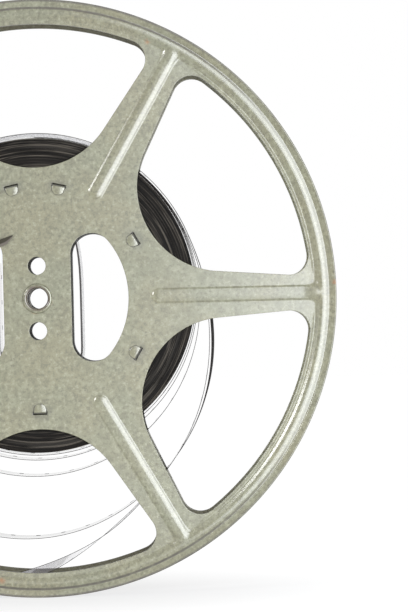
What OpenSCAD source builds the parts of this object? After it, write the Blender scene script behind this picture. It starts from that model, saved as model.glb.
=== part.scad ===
// Cine film reel: two pressed sheet flanges on a rolled drum, wound with a strip of 16 mm film.
// The spin axis is Y, the front flange is at -Y, and the origin is the middle of the spindle axis.

/* [Flange sheet] */
// Outside radius of a flange
flange_r = 89; // [84:0.5:100]
// Thickness of the flange sheet
sheet_t = 0.8; // [0.5:0.05:1.2]
// Width of a spoke where it meets the rim
spoke_w = 9.6; // [7.5:0.1:13]
// Angle at which each side of a spoke widens towards the hub
spoke_taper = 4.4; // [2:0.1:6]
// Radius of an opening's corners beside the rim
corner_r = 5.8; // [3:0.1:8]

/* [Rim profile] */
// Flat margin between an opening and the ring bead
margin_w = 1.0; // [0.5:0.1:2]
// Width of the bead's steep inner wall
bead_rise_w = 0.5; // [0.3:0.05:1]
// Width of the bead's crown
bead_crown_w = 1.4; // [0.8:0.1:2.5]
// Width of the bead's sloping outer wall
bead_fall_w = 2.0; // [1:0.1:3]
// Width of the flared outer band, out to the rim's edge
band_w = 1.9; // [1.5:0.1:3]
// Width of the flat edge on the flared band
edge_w = 0.6; // [0.3:0.05:0.9]
// Height of the bead above the sheet
bead_h = 0.7; // [0.4:0.05:1.2]
// Height of the flared edge above the sheet
flare_h = 0.9; // [0.5:0.05:1.5]

/* [Spoke ribs] */
// Width of a rib at its foot
rib_w = 4.0; // [3:0.1:6]
// Width of a rib's crown
rib_crown_w = 2.0; // [1:0.1:2.8]
// Height of a rib above the sheet
rib_h = 0.65; // [0.4:0.05:1.1]
// Radius at which a rib's rounded inner end stops
rib_inner_r = 34.2; // [32:0.1:40]

/* [Hub] */
// Width of the hub disc outside the drum, in the middle of each opening
hub_edge_w = 4.4; // [3:0.1:8]
// Half the width of the web between the two D windows
web_half = 10.6; // [9:0.1:13]
// Radius of the D windows' curved side
window_r = 26.8; // [24:0.1:29]
// Radius of the D windows' corners
window_corner_r = 5.4; // [3:0.1:6]
// Radius of the spindle bore through the eyelets
bore_r = 3.05; // [2.5:0.05:4]
// Wall of the eyelet's barrel
eyelet_t = 0.55; // [0.4:0.05:0.8]
// Outside radius of the eyelet's raised ring
eyelet_r = 4.5; // [4.4:0.05:6]
// Height of the eyelet's raised ring
eyelet_h = 0.75; // [0.5:0.05:1.2]
// Radius of the clinched foot on the sheet's inner side
clinch_r = 4.2; // [4.1:0.05:5.5]
// Height of the clinched foot
clinch_h = 0.45; // [0.3:0.05:0.6]
// Radius of a drive hole
drive_r = 2.65; // [2:0.05:3.2]
// Distance from the spindle axis to a drive hole
drive_offset = 9.72; // [8.5:0.02:12]

/* [Drum] */
// Outside radius of the drum
drum_r = 34.6; // [32:0.1:36]
// Thickness of the drum strip
drum_t = 0.7; // [0.5:0.05:1]
// Width of a drum tab
tab_w = 3.9; // [3:0.1:5]
// Length of a folded tab, from the drum's outside towards the axis
tab_l = 3.4; // [2.8:0.1:4.2]
// Angle from the drum's slot to the tab on either side of it
slot_tab_angle = 12; // [11:0.25:16]
// Width of the drum's slot for the film end
film_slot_w = 7.4; // [6:0.1:8]
// Clearance of a tab in its flange slot
tab_clear = 0.15; // [0.05:0.05:0.3]
// Extra opening on the outer side of a flange slot
slot_relief = 0.5; // [0.2:0.05:0.8]

/* [Film] */
// Width of the film
film_w = 16; // [12:0.1:18]
// Thickness of the film
film_t = 0.15; // [0.1:0.01:0.2]
// Room between the film's edges and each flange
film_side_clear = 0.75; // [0.6:0.05:1.5]
// Room between the drum and the wound film
drum_clear = 0.3; // [0.2:0.05:0.6]
// Outside radius of the tight pack
pack_r = 46; // [42:0.5:52]
// How far the pack's outline sits above the spindle axis
pack_rise = 0.9; // [0:0.1:1.5]
// Step of the loose turns where they lie on the pack
turn_step = 0.6; // [0.6:0.01:0.9]
// Room between the lowest loose turn and the rim's inner edge
slack_gap = 8.5; // [6:0.5:16]
// Room between the tail's end and the rim's outer edge
tail_gap = 3; // [3:0.25:5]
// Turn of the film about its own length at the tail's end
tail_twist = 17; // [0:1:20]
// Farthest reach of the inner end to the right of the spindle axis
inner_end_x = 13.3; // [12:0.1:15]
// Reach of the inner end to the left of the spindle axis
inner_end_left = 11.5; // [11:0.1:14]

/* [Hidden] */
$fn = 96;

// Number of spokes, and the angle between the middle of a spoke and of an opening
spoke_count = 6;
half_pitch = 180 / spoke_count;
// Through cuts run past both faces by this much
over = 1;

// Heights above the sheet's inner face, and distances from the reel's middle plane
flange_gap = film_w + 2 * film_side_clear;
inner_face = flange_gap / 2;
outer_face = inner_face + sheet_t;

// Radii of the rim's profile, from the opening outwards
rim_in_r = flange_r - band_w - bead_fall_w - bead_crown_w - bead_rise_w - margin_w;
bead_foot_r = rim_in_r + margin_w;
crown_in_r = bead_foot_r + bead_rise_w;
crown_out_r = crown_in_r + bead_crown_w;
valley_r = crown_out_r + bead_fall_w;

// Spoke openings: half angle between the sides, where the sides would meet, and the scallop
waist_r = drum_r + hub_edge_w;
side_angle = half_pitch + spoke_taper;
side_x = rim_in_r * cos(half_pitch) + spoke_w / 2 * sin(half_pitch);
side_y = rim_in_r * sin(half_pitch) - spoke_w / 2 * cos(half_pitch);
side_apex = side_x - side_y / tan(side_angle);
scallop_r = (waist_r - side_apex) * sin(side_angle) / (1 - sin(side_angle));
scallop_x = waist_r + scallop_r;

// Centre of the corner circle that touches a side and the rim
corner_apex = side_apex + corner_r / sin(side_angle);
corner_run = sqrt(pow(rim_in_r - corner_r, 2) - pow(corner_apex * sin(side_angle), 2))
             - corner_apex * cos(side_angle);
corner_x = corner_apex + corner_run * cos(side_angle);
corner_y = corner_run * sin(side_angle);
corner_angle = atan2(corner_y, corner_x);

// Centre of the corner circle of a D window
window_x = web_half + window_corner_r;
window_y = sqrt(pow(window_r - window_corner_r, 2) - pow(window_x, 2));
window_angle = atan2(window_y, window_x);

// Hole for the eyelet's barrel
barrel_r = bore_r + eyelet_t;
barrel_clear = eyelet_t / 10;
barrel_hole_r = barrel_r + barrel_clear;

// Tabs stand midway between the spokes, with one on each side of the drum's slot at the top
slot_angle = 90;
tab_angles = concat(
    [for (i = [0 : spoke_count - 1]) let (a = (2 * i + 1) * half_pitch) if (a != slot_angle) a],
    [slot_angle - slot_tab_angle, slot_angle + slot_tab_angle]);
drum_in_r = drum_r - drum_t;
// The flat tabs keep this far inside both faces of the drum's curved wall
tab_skim = drum_t / 10;
tab_t = drum_t - 2 * tab_skim;
tab_out_r = drum_r - tab_skim;
tab_in_r = tab_out_r - tab_t;
tab_root = 0.4 * tab_w;

// Loose turns: count from the pack at the top, one turn a full circle, outwards and clockwise
rings_per_turn = 24;
last_ring = 109;
last_turn = last_ring / rings_per_turn;
film_cup = film_w / 80;
// Straight runs between two rings dip below a round turn by the last term
pack_room = drum_clear / 3;
pack_lay = pack_room + film_t / 2 + pack_r * (1 / cos(180 / rings_per_turn) - 1);
slack_turn = 3.55;
slack_growth = 4;
slack_decay = 1.34;
slack_spread = 0.75;
tail_turn = 4.347;
tail_power = 1.5;
tail_r = flange_r - tail_gap;
side_twist = 4;
side_twist_turn = 4.2;
side_twist_span = 0.12;
slack = rim_in_r - slack_gap - pack_r - turn_step * slack_turn;

// Inner end: an upper stretch from the slot, a loop in the drum and a rising left side
inner_low_z = -0.145 * drum_r;
inner_loop_z = -0.43 * drum_r;
inner_top_z = 0.32 * drum_r;
inner_power = 4;
inner_start_r = drum_r;
inner_loop_r = (inner_end_x + inner_end_left) / 2;
inner_steps = 12;

// Points of an arc, from angle a0 to angle a1
function arc(x, y, r, a0, a1, steps, first = 0, last = 0) =
    [for (i = [first : steps - last]) [x + r * cos(a0 + (a1 - a0) * i / steps),
                                       y + r * sin(a0 + (a1 - a0) * i / steps)]];

// Smooth step from 0 to 1
function ease(u) = let (v = min(1, max(0, u))) v * v * (3 - 2 * v);

// Outline of a spoke opening that points along +X
function opening_points() = concat(
    arc(scallop_x, 0, scallop_r, 90 + side_angle, 270 - side_angle, 28),
    arc(corner_x, -corner_y, corner_r, 270 - side_angle, 360 - corner_angle, 14),
    arc(0, 0, rim_in_r, -corner_angle, corner_angle, 16, 1, 1),
    arc(corner_x, corner_y, corner_r, corner_angle, 90 + side_angle, 14));

// Outline of the D window on the right
function window_points() = concat(
    arc(window_x, window_y, window_corner_r, window_angle, 180, 14),
    arc(window_x, -window_y, window_corner_r, 180, 360 - window_angle, 14),
    arc(0, 0, window_r, -window_angle, window_angle, 20, 1, 1));

// Radius of the loose turns at turn t, without the tail's pull
function turn_phase(t) = t - floor(t);
function from_bottom(t) = 360 * abs(turn_phase(t) - 0.5);
function turn_angle(t) = 90 - 360 * t;
function sag(t) = slack * pow(t < slack_turn ? slack_growth : slack_decay, -abs(t - slack_turn));
function lobe(t) = let (a = slack_spread * from_bottom(t)) a < 90 ? pow(cos(a), 2) : 0;
function wound_r(t) = pack_r + pack_rise * sin(turn_angle(t)) + pack_lay + turn_step * t + sag(t) * lobe(t);

// Radius of the loose turns with the tail, and the film's turn about its own length
tail_pull = tail_r - wound_r(last_turn);
function tail_share(t) = pow(max(0, t - tail_turn) / (last_turn - tail_turn), tail_power);
function loose_r(t) = wound_r(t) + tail_pull * tail_share(t);
function loose_twist(t) = side_twist * ease((t - side_twist_turn) / side_twist_span)
                          + (tail_twist - side_twist) * ease((t - tail_turn) / (last_turn - tail_turn));

// Paths of the film's middle line, as points in the reel's plane
loose_path = [for (i = [0 : last_ring]) let (t = i / rings_per_turn)
              loose_r(t) * [cos(turn_angle(t)), sin(turn_angle(t))]];
loose_twists = [for (i = [0 : last_ring]) loose_twist(i / rings_per_turn)];

function inner_drop(z) =
    inner_end_x * (1 - pow((z - inner_low_z) / (inner_start_r - inner_low_z), inner_power));
inner_path = concat(
    [for (i = [0 : inner_steps]) let (z = inner_start_r + (inner_low_z - inner_start_r) * i / inner_steps)
     [inner_drop(z), z]],
    arc(inner_end_x - inner_loop_r, inner_loop_z, inner_loop_r, 0, -180, inner_steps),
    [[-inner_end_left, (inner_loop_z + inner_top_z) / 2], [-inner_end_left, inner_top_z]]);

// Unit normal of a path at point i, on the left of its direction
function path_normal(path, i) =
    let (a = path[max(0, i - 1)], b = path[min(len(path) - 1, i + 1)], d = (b - a) / norm(b - a))
    [-d[1], d[0]];

// A point of the strip at path point i: across its width by s and out of its face by h
function strip_point(path, twists, i, s, h) =
    let (n = path_normal(path, i), a = twists[i], out = s * sin(a) + h * cos(a))
    [path[i][0] + out * n[0], s * cos(a) - h * sin(a), path[i][1] + out * n[1]];

// Six points round the strip's section, slightly cupped across its width
function strip_ring(path, twists, i) =
    let (w = film_w / 2, h = film_t / 2)
    [for (p = [[-w, -h], [0, film_cup - h], [w, -h], [w, h], [0, film_cup + h], [-w, h]])
     strip_point(path, twists, i, p[0], p[1])];

// Least distance from the strip's lines at one pass to the same lines at another
function to_segment(p, a, b) =
    let (d = b - a, u = min(1, max(0, (p - a) * d / (d * d)))) norm(p - a - u * d);
function strip_gap(path, twists, apart) =
    min([for (s = [-film_w / 2, 0, film_w / 2])
         let (line = [for (i = [0 : len(path) - 1]) strip_point(path, twists, i, s, 0)])
         for (i = [0 : len(line) - 1]) for (j = [i + apart : 1 : len(line) - 2])
         to_segment(line[i], line[j], line[j + 1])]) - film_t;

// Turns a flat piece drawn in XY into the reel's plane, facing the front
module to_front() {
    rotate([90, 0, 0]) children();
}

// One strip of film along a path
module film_strip(path, twists) {
    rings = len(path);
    sides = 6;
    points = [for (i = [0 : rings - 1]) each strip_ring(path, twists, i)];
    walls = [for (i = [0 : rings - 2]) for (k = [0 : sides - 1])
             let (a = i * sides + k, b = i * sides + (k + 1) % sides)
             each [[a, b, b + sides], [a, b + sides, a + sides]]];
    cap = [[0, 4, 1], [0, 5, 4], [1, 3, 2], [1, 4, 3]];
    end = (rings - 1) * sides;
    ends = concat(cap, [for (f = cap) [f[0] + end, f[2] + end, f[1] + end]]);
    polyhedron(points, concat(walls, ends));
}

// Section of the pressed sheet from the eyelet's hole to the rim's edge, as radius and height
module sheet_section() {
    outside = [[barrel_hole_r, 0], [bead_foot_r, 0], [crown_in_r, bead_h], [crown_out_r, bead_h],
               [valley_r, 0], [flange_r - edge_w, flare_h], [flange_r, flare_h]];
    count = len(outside);
    polygon(concat([for (p = outside) [p[0], p[1] + sheet_t]],
                   [for (i = [count - 1 : -1 : 0]) outside[i]]));
}

// A rib along +X with sloping sides and a round inner end, from its foot upwards
module rib_form() {
    foot = rib_w / 2;
    crown = rib_crown_w / 2;
    start = rib_inner_r + foot;
    end = (crown_in_r + crown_out_r) / 2;
    translate([start, 0, 0]) {
        rotate([90, 0, 90]) linear_extrude(end - start)
            polygon([[-foot, -sheet_t / 2], [foot, -sheet_t / 2], [foot, 0],
                     [crown, rib_h], [-crown, rib_h], [-foot, 0]]);
        cylinder(h = rib_h, r1 = foot, r2 = crown);
        translate([0, 0, -sheet_t / 2]) cylinder(h = sheet_t / 2, r = foot);
    }
}

// The cuts through a flange: spoke openings, windows, drive holes and tab slots
module flange_cuts() {
    depth = sheet_t + 2 * over;
    translate([0, 0, -over]) {
        for (i = [0 : spoke_count - 1]) rotate((2 * i + 1) * half_pitch)
            linear_extrude(depth) polygon(opening_points());
        for (side = [0, 180]) rotate(side) linear_extrude(depth) polygon(window_points());
        for (side = [-1, 1]) translate([0, side * drive_offset, 0]) cylinder(h = depth, r = drive_r);
        for (a = tab_angles) rotate(a)
            translate([tab_in_r - tab_clear, -tab_w / 2 - tab_clear, 0])
                cube([tab_t + tab_clear + slot_relief, tab_w + 2 * tab_clear, depth]);
    }
}

// One pressed flange with its inner face at height 0
module flange() {
    difference() {
        union() {
            difference() {
                rotate_extrude($fn = 180) sheet_section();
                flange_cuts();
            }
            for (i = [0 : spoke_count - 1]) rotate(i * 2 * half_pitch) translate([0, 0, sheet_t]) rib_form();
        }
        for (i = [0 : spoke_count - 1]) rotate(i * 2 * half_pitch) rib_form();
    }
}

// One eyelet on the flange's inner face at height 0, rolled over a raised ring
module eyelet() {
    ring_x = (bore_r + eyelet_r) / 2;
    ring_half = (eyelet_r - bore_r) / 2;
    ring = [for (a = [0 : 15 : 180]) [ring_x + ring_half * cos(a), sheet_t + eyelet_h * sin(a)]];
    rotate_extrude()
        polygon(concat([[bore_r, -clinch_h], [clinch_r, -clinch_h], [clinch_r, 0],
                        [barrel_r, 0], [barrel_r, sheet_t]], ring));
}

// One tab: a riser out of the drum's wall, through the flange, and a tongue folded inwards over its face
module tab() {
    tongue_r = drum_r - tab_l;
    half = tab_w / 2;
    round_x = tongue_r + half;
    bend = arc(tab_in_r, outer_face, tab_t, 0, 90, 6);
    intersection() {
        translate([0, tab_w, 0]) rotate([90, 0, 0]) linear_extrude(2 * tab_w)
            polygon(concat([[tab_in_r, inner_face - tab_root], [tab_out_r, inner_face - tab_root]], bend,
                           [[tongue_r - over, outer_face + tab_t], [tongue_r - over, outer_face],
                            [tab_in_r, outer_face]]));
        linear_extrude(outer_face + tab_t + over)
            polygon(concat([[drum_r + over, -half], [drum_r + over, half]],
                           arc(round_x, 0, half, 90, 270, 12)));
    }
}

module front_flange() {
    color("darkseagreen") to_front() translate([0, 0, inner_face]) flange();
}

module rear_flange() {
    color("darkseagreen") mirror([0, 1, 0]) to_front() translate([0, 0, inner_face]) flange();
}

module front_eyelet() {
    color("rosybrown") to_front() translate([0, 0, inner_face]) eyelet();
}

module rear_eyelet() {
    color("rosybrown") mirror([0, 1, 0]) to_front() translate([0, 0, inner_face]) eyelet();
}

module core_drum() {
    color("darkkhaki") to_front() {
        difference() {
            translate([0, 0, -inner_face]) cylinder(h = flange_gap, r = drum_r);
            translate([0, 0, -inner_face - over]) cylinder(h = flange_gap + 2 * over, r = drum_in_r);
            translate([-film_slot_w / 2, 0, -inner_face - over])
                cube([film_slot_w, drum_r + over, flange_gap + 2 * over]);
        }
        for (side = [0, 1]) mirror([0, 0, side]) for (a = tab_angles) rotate(a) tab();
    }
}

module film_pack() {
    color([0.16, 0.14, 0.13]) to_front() translate([0, 0, -film_w / 2]) difference() {
        translate([0, pack_rise, 0]) cylinder(h = film_w, r = pack_r);
        translate([0, 0, -over]) cylinder(h = film_w + 2 * over, r = drum_r + drum_clear);
    }
}

module film_loose_turns() {
    color([0.3, 0.28, 0.28]) film_strip(loose_path, loose_twists);
    echo(least_gap_between_loose_turns = strip_gap(loose_path, loose_twists, rings_per_turn / 2));
}

module film_inner_end() {
    color([0.62, 0.6, 0.62]) film_strip(inner_path, [for (p = inner_path) 0]);
    echo(least_gap_in_inner_loop = strip_gap(inner_path, [for (p = inner_path) 0], inner_steps));
}

front_flange();
rear_flange();
core_drum();
front_eyelet();
rear_eyelet();
film_pack();
film_loose_turns();
film_inner_end();
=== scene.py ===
import math

import bpy
import numpy as np
from mathutils import Matrix, Vector, geometry, kdtree


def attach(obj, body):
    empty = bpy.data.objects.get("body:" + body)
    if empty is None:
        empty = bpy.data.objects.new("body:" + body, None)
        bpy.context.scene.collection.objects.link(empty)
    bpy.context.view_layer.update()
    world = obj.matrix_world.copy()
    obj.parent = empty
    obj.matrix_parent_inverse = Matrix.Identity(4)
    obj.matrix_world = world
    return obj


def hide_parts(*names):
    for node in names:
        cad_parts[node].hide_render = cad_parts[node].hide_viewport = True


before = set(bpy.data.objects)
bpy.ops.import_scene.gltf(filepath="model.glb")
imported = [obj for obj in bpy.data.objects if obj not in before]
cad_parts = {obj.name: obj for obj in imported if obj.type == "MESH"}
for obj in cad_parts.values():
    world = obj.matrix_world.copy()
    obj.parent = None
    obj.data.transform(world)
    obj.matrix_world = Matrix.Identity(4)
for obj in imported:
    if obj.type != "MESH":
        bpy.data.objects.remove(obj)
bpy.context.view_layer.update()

# All shapes are worked out in millimetres in the part's frame and scaled to metres when a mesh is made.
MM = 0.001
SEED = 16

# Flange sheet, as in the part's source
FLANGE_R = 89.0
RIM_STEPS = 480
SHEET_T = 0.8
INNER_FACE = 8.75
OUTER_FACE = INNER_FACE + SHEET_T
SPOKES = 6
SPOKE_W = 9.6
SPOKE_TAPER = 4.4
CORNER_R = 5.8
RIM_IN_R = 81.7
WAIST_R = 39.0
WEB_HALF = 10.1
WINDOW_R = 27.1
WINDOW_CORNER_R = 6.3
BARREL_HOLE_R = 3.65
DRIVE_R = 2.65
DRIVE_OFFSET = 9.72

# Pressed relief: ring bead, valley, flared band and ribs
BEAD_H = 0.68
BEAD_WALL_R = 84.1
BEAD_WALL_W = 1.5
BEAD_CREST_R = 84.85
BEAD_CREST_W = 1.95
BEAD_TOP_R = 85.3
BEAD_SHOULDER_R = 86.0
BEAD_SHOULDER_H = 0.585
VALLEY_R = 86.85
VALLEY_H = 0.37
VALLEY_HALF = 0.1
RIDGE_R = 82.6
RIDGE_H = 0.045
RIDGE_W = 0.32
RIDGE_RIB_GAP = 5.0
RIDGE_FADE_W = 3.0
FLARE_FOOT_R = 87.27
FLARE_FOOT_H = 0.53
FLARE_H = 0.9
FLARE_R = 88.6
RIB_START_R = 36.2
RIB_H = 0.42
RIB_RISE_R = 79.0
RIB_RISE_W = 4.5
RIB_WALL_AT = 1.65
RIB_WALL_W = 0.75
RIB_CROWN_FLAT = 0.3
RIB_CROWN_W = 2.2
CROWN_SHARE = 0.62
WALL_BLEND = 2.0
CROWN_BLEND = 0.7
RELIEF_SOFTNESS = 0.13
PROFILE_STEP = 0.01
CUT_ROUND = 0.16
RIM_ROUND = 0.36

# Spacing of the flange's points: the plain grid, and the least distance of the rim's, ribs' and grid's points
# from those before them
GRID_STEP = 2.4
GRID_ROW = 2.08
POINT_GAPS = (0.2, 0.17, 1.0)
EDGE_REACH = 0.7
# Reach of the painted shade that darkens the sheet round the tab slots
SLOT_SHADE_REACH = 0.22

# Drum and eyelets
DRUM_R = 34.6
DRUM_T = 0.7
DRUM_SLOT_W = 7.4
TAB_W = 3.9
TAB_L = 3.3
TAB_T = 0.5
TAB_SKIM = 0.2
TAB_CLEAR = 0.15
TAB_ROOT = 1.2
TAB_BEND = 0.25
TAB_LIFT = 0.03
TAB_DIP = 0.06
TAB_DOME = 0.1
TAB_ROUND = 0.2
# Width of the painted shade along a tab's edges
TAB_SHADE_W = 0.15
TAB_TIP_HALF = 0.75
SLOT_RELIEF = 0.2
TAB_ANGLES = (30, 150, 210, 270, 330, 78, 102)
BORE_R = 3.05
EYELET_R = 4.5
EYELET_H = 0.75
CLINCH_R = 4.2
CLINCH_H = 0.45

# Film
FILM_W = 16.0
FILM_T = 0.15
PERF_PITCH = 7.62
PERF_L = 1.27
PERF_W = 1.83
PERF_EDGE = 0.92
PACK_R = 46.9
PACK_RISE = 0.9
PACK_BORE_R = 34.9
PACK_LAYERS = 46
PACK_STEPS = 144
LAYER_SHIFT = 0.14
LAYER_SHIFT_MOST = 0.32


def linear(r, g, b):
    """Linear colour with alpha from 8-bit display values."""
    def one(v):
        v /= 255
        return v / 12.92 if v <= 0.04045 else ((v + 0.055) / 1.055) ** 2.4
    return (one(r), one(g), one(b), 1.0)


def step(u):
    """A smooth rise from 0 to 1."""
    u = np.clip(u, 0, 1)
    return u * u * (3 - 2 * u)


def polar(radius, degrees):
    """Points in the plane of the reel."""
    a = np.radians(degrees)
    return np.stack([radius * np.cos(a), radius * np.sin(a)], -1)


def full_turn(count):
    """Evenly spaced angles once round, in degrees."""
    return np.linspace(0, 360, count + 1)[:-1]


def turned(points, degrees):
    """Points in the plane of the reel, turned about its axis."""
    c, s = math.cos(math.radians(degrees)), math.sin(math.radians(degrees))
    return np.asarray(points) @ np.array([[c, s], [-s, c]])


# Meshes

def mesh_piece(name, verts, faces, materials, body, node, slots=None, normals=None, sharp=None):
    """A piece from points in millimetres, riding on a body and standing for a node."""
    mesh = bpy.data.meshes.new(name)
    mesh.from_pydata((np.asarray(verts, float) * MM).tolist(), [], [list(map(int, f)) for f in faces])
    for material in materials:
        mesh.materials.append(material)
    if slots is not None:
        mesh.polygons.foreach_set("material_index", np.asarray(slots, np.int32))
    mesh.polygons.foreach_set("use_smooth", np.ones(len(mesh.polygons), bool))
    if sharp is not None:
        mesh.set_sharp_from_angle(angle=math.radians(sharp))
    mesh.update()
    if normals is not None:
        mesh.normals_split_custom_set_from_vertices(np.asarray(normals, float).tolist())
    piece = bpy.data.objects.new(name, mesh)
    bpy.context.scene.collection.objects.link(piece)
    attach(piece, body)
    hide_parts(node)
    return piece


def point_values(piece, name, values):
    """A number at each point, for a material to read."""
    layer = piece.data.attributes.new(name, "FLOAT", "POINT")
    layer.data.foreach_set("value", np.asarray(values, np.float32))


def outward(verts, faces):
    """The faces, turned over if they enclose a negative volume."""
    v = np.asarray(verts, float)
    total = sum(float(v[f[0]] @ np.cross(v[f[k]], v[f[k + 1]])) for f in faces for k in range(1, len(f) - 1))
    return faces if total > 0 else [f[::-1] for f in faces]


def tube_faces(rings, size, closed_path=False):
    """Quads between consecutive rings of points, with end caps unless the path closes."""
    faces = []
    for i in range(rings if closed_path else rings - 1):
        jump = ((i + 1) % rings - i) * size
        for k in range(size):
            a, b = i * size + k, i * size + (k + 1) % size
            faces.append([a, b, b + jump, a + jump])
    if not closed_path:
        faces.append(list(range(size))[::-1])
        faces.append(list(range((rings - 1) * size, rings * size)))
    return faces


# Flange plan: outlines of the sheet and its cuts, in the plane of the reel

def arc_points(cx, cz, radius, a0, a1, spacing):
    """Points along an arc, about a spacing apart."""
    count = max(4, int(math.ceil(abs(math.radians(a1 - a0)) * radius / spacing)))
    return polar(radius, np.linspace(a0, a1, count + 1)) + [cx, cz]


def filled(corners, spacing):
    """A closed outline with long sides divided."""
    corners = np.asarray(corners, float)
    points = []
    for a, b in zip(corners, np.roll(corners, -1, 0)):
        length = np.linalg.norm(b - a)
        if length < 1e-6:
            continue
        count = max(1, int(round(length / spacing)))
        points += [a + (b - a) * k / count for k in range(count)]
    return np.array(points)


def opening_outline():
    """The opening between two spokes, to the right of the axis."""
    half = 180 / SPOKES
    side = math.radians(half + SPOKE_TAPER)
    side_x = RIM_IN_R * math.cos(math.radians(half)) + SPOKE_W / 2 * math.sin(math.radians(half))
    side_y = RIM_IN_R * math.sin(math.radians(half)) - SPOKE_W / 2 * math.cos(math.radians(half))
    apex = side_x - side_y / math.tan(side)
    scallop_r = (WAIST_R - apex) * math.sin(side) / (1 - math.sin(side))
    corner_apex = apex + CORNER_R / math.sin(side)
    run = math.sqrt((RIM_IN_R - CORNER_R) ** 2 - (corner_apex * math.sin(side)) ** 2)
    run -= corner_apex * math.cos(side)
    cx, cz = corner_apex + run * math.cos(side), run * math.sin(side)
    turn, deg = math.degrees(math.atan2(cz, cx)), math.degrees(side)
    return filled(np.concatenate([
        arc_points(WAIST_R + scallop_r, 0, scallop_r, 90 + deg, 270 - deg, 0.8),
        arc_points(cx, -cz, CORNER_R, 270 - deg, 360 - turn, 0.5),
        arc_points(0, 0, RIM_IN_R, -turn, turn, 0.9)[1:-1],
        arc_points(cx, cz, CORNER_R, turn, 90 + deg, 0.5)]), 1.1)


def window_outline():
    """The D window to the right of the axis."""
    x = WEB_HALF + WINDOW_CORNER_R
    z = math.sqrt((WINDOW_R - WINDOW_CORNER_R) ** 2 - x * x)
    turn = math.degrees(math.atan2(z, x))
    return filled(np.concatenate([
        arc_points(x, z, WINDOW_CORNER_R, turn, 180, 0.5),
        arc_points(x, -z, WINDOW_CORNER_R, 180, 360 - turn, 0.5),
        arc_points(0, 0, WINDOW_R, -turn, turn, 0.8)[1:-1]]), 1.1)


def slot_outline():
    """The slot for a drum tab, to the right of the axis."""
    out_r = DRUM_R - TAB_SKIM
    x0, x1 = out_r - TAB_T - TAB_CLEAR, out_r + SLOT_RELIEF
    half = TAB_W / 2 + TAB_CLEAR
    return filled([(x0, -half), (x1, -half), (x1, half), (x0, half)], 0.5)


def hole_outlines():
    """Openings, windows, tab slots, drive holes and the eyelet's hole, in that order."""
    opening, window, slot = opening_outline(), window_outline(), slot_outline()
    holes = [turned(opening, (2 * k + 1) * 180 / SPOKES) for k in range(SPOKES)]
    holes += [window, turned(window, 180)]
    holes += [turned(slot, a) for a in TAB_ANGLES]
    circle = full_turn(40)
    holes += [polar(DRIVE_R, circle) + [0, side * DRIVE_OFFSET] for side in (-1, 1)]
    holes.append(polar(BARREL_HOLE_R, circle))
    return holes


def inset(points, distance):
    """An outline moved to its right by a distance, with the direction at each point."""
    along = np.roll(points, -1, 0) - points
    along /= np.linalg.norm(along, axis=1)[:, None]
    right = np.stack([along[:, 1], -along[:, 0]], -1)
    mean = right + np.roll(right, 1, 0)
    mean /= np.linalg.norm(mean, axis=1)[:, None]
    reach = 1 / np.maximum(0.4, (mean * right).sum(1))
    return points + mean * (distance * reach)[:, None], mean


def inside(points, outline):
    """Which points lie inside a closed outline."""
    hit = np.zeros(len(points), bool)
    lo, hi = outline.min(0), outline.max(0)
    near = np.all((points >= lo) & (points <= hi), axis=1)
    p = points[near]
    odd = np.zeros(len(p), bool)
    for a, b in zip(outline, np.roll(outline, -1, 0)):
        crosses = (a[1] > p[:, 1]) != (b[1] > p[:, 1])
        if crosses.any():
            x = a[0] + (p[:, 1] - a[1]) / (b[1] - a[1] if b[1] != a[1] else 1) * (b[0] - a[0])
            odd ^= crosses & (p[:, 0] < x)
    hit[near] = odd
    return hit


# Flange relief: height of the pressed form above the flat sheet

def ring_profile():
    """Radius and softened height along the rim's section, outside the bead's top."""
    r = np.arange(80, 92, PROFILE_STEP)
    valley = VALLEY_R - VALLEY_HALF, VALLEY_R + VALLEY_HALF
    h = np.interp(r, [BEAD_TOP_R, BEAD_SHOULDER_R, *valley, FLARE_FOOT_R, FLARE_R],
                  [BEAD_H, BEAD_SHOULDER_H, VALLEY_H, VALLEY_H, FLARE_FOOT_H, FLARE_H])
    reach = 100
    weight = np.exp(-0.5 * (np.arange(-reach, reach + 1) * PROFILE_STEP / RELIEF_SOFTNESS) ** 2)
    return r[reach:-reach], np.convolve(h, weight / weight.sum(), "valid")


PROFILE_R, PROFILE_H = ring_profile()


def rib_distance(x, z):
    """Distance to the middle line of the nearest rib."""
    pitch = 2 * math.pi / SPOKES
    k = np.round(np.arctan2(z, x) / pitch) * pitch
    u, v = x * np.cos(k) + z * np.sin(k), z * np.cos(k) - x * np.sin(k)
    return np.hypot(np.maximum(RIB_START_R - u, 0), v)


def soft_min(a, b, blend):
    """The lesser of two values, rounded where they cross."""
    near = np.maximum(blend - np.abs(a - b), 0)
    return np.minimum(a, b) - near * near / (4 * blend)


def relief(x, z):
    """A gently domed crown and a steeper wall along each rib, running into the ring bead."""
    r, rib = np.hypot(x, z), rib_distance(x, z)
    wall = soft_min((rib - RIB_WALL_AT) / RIB_WALL_W, (BEAD_WALL_R - r) / BEAD_WALL_W, WALL_BLEND)
    crown = soft_min((rib - RIB_CROWN_FLAT) / RIB_CROWN_W, (BEAD_CREST_R - r) / BEAD_CREST_W, CROWN_BLEND)
    height = RIB_H + (BEAD_H - RIB_H) * step((r - RIB_RISE_R) / RIB_RISE_W)
    pressed = height * (1 - (1 - CROWN_SHARE) * step(wall) - CROWN_SHARE * step(crown))
    ridge = RIDGE_H * np.exp(-((r - RIDGE_R) / RIDGE_W) ** 2)
    pressed += ridge * step((rib - RIDGE_RIB_GAP) / RIDGE_FADE_W)
    return np.where(r < (BEAD_CREST_R + BEAD_TOP_R) / 2, pressed, np.interp(r, PROFILE_R, PROFILE_H))


def relief_slope(x, z, e=0.01):
    """Slopes of the relief along x and z."""
    return ((relief(x + e, z) - relief(x - e, z)) / (2 * e),
            (relief(x, z + e) - relief(x, z - e)) / (2 * e))


def plan_tree(points):
    """A search tree over points in the plane of the reel."""
    tree = kdtree.KDTree(len(points))
    for i, p in enumerate(points):
        tree.insert((p[0], p[1], 0), i)
    tree.balance()
    return tree


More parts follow.
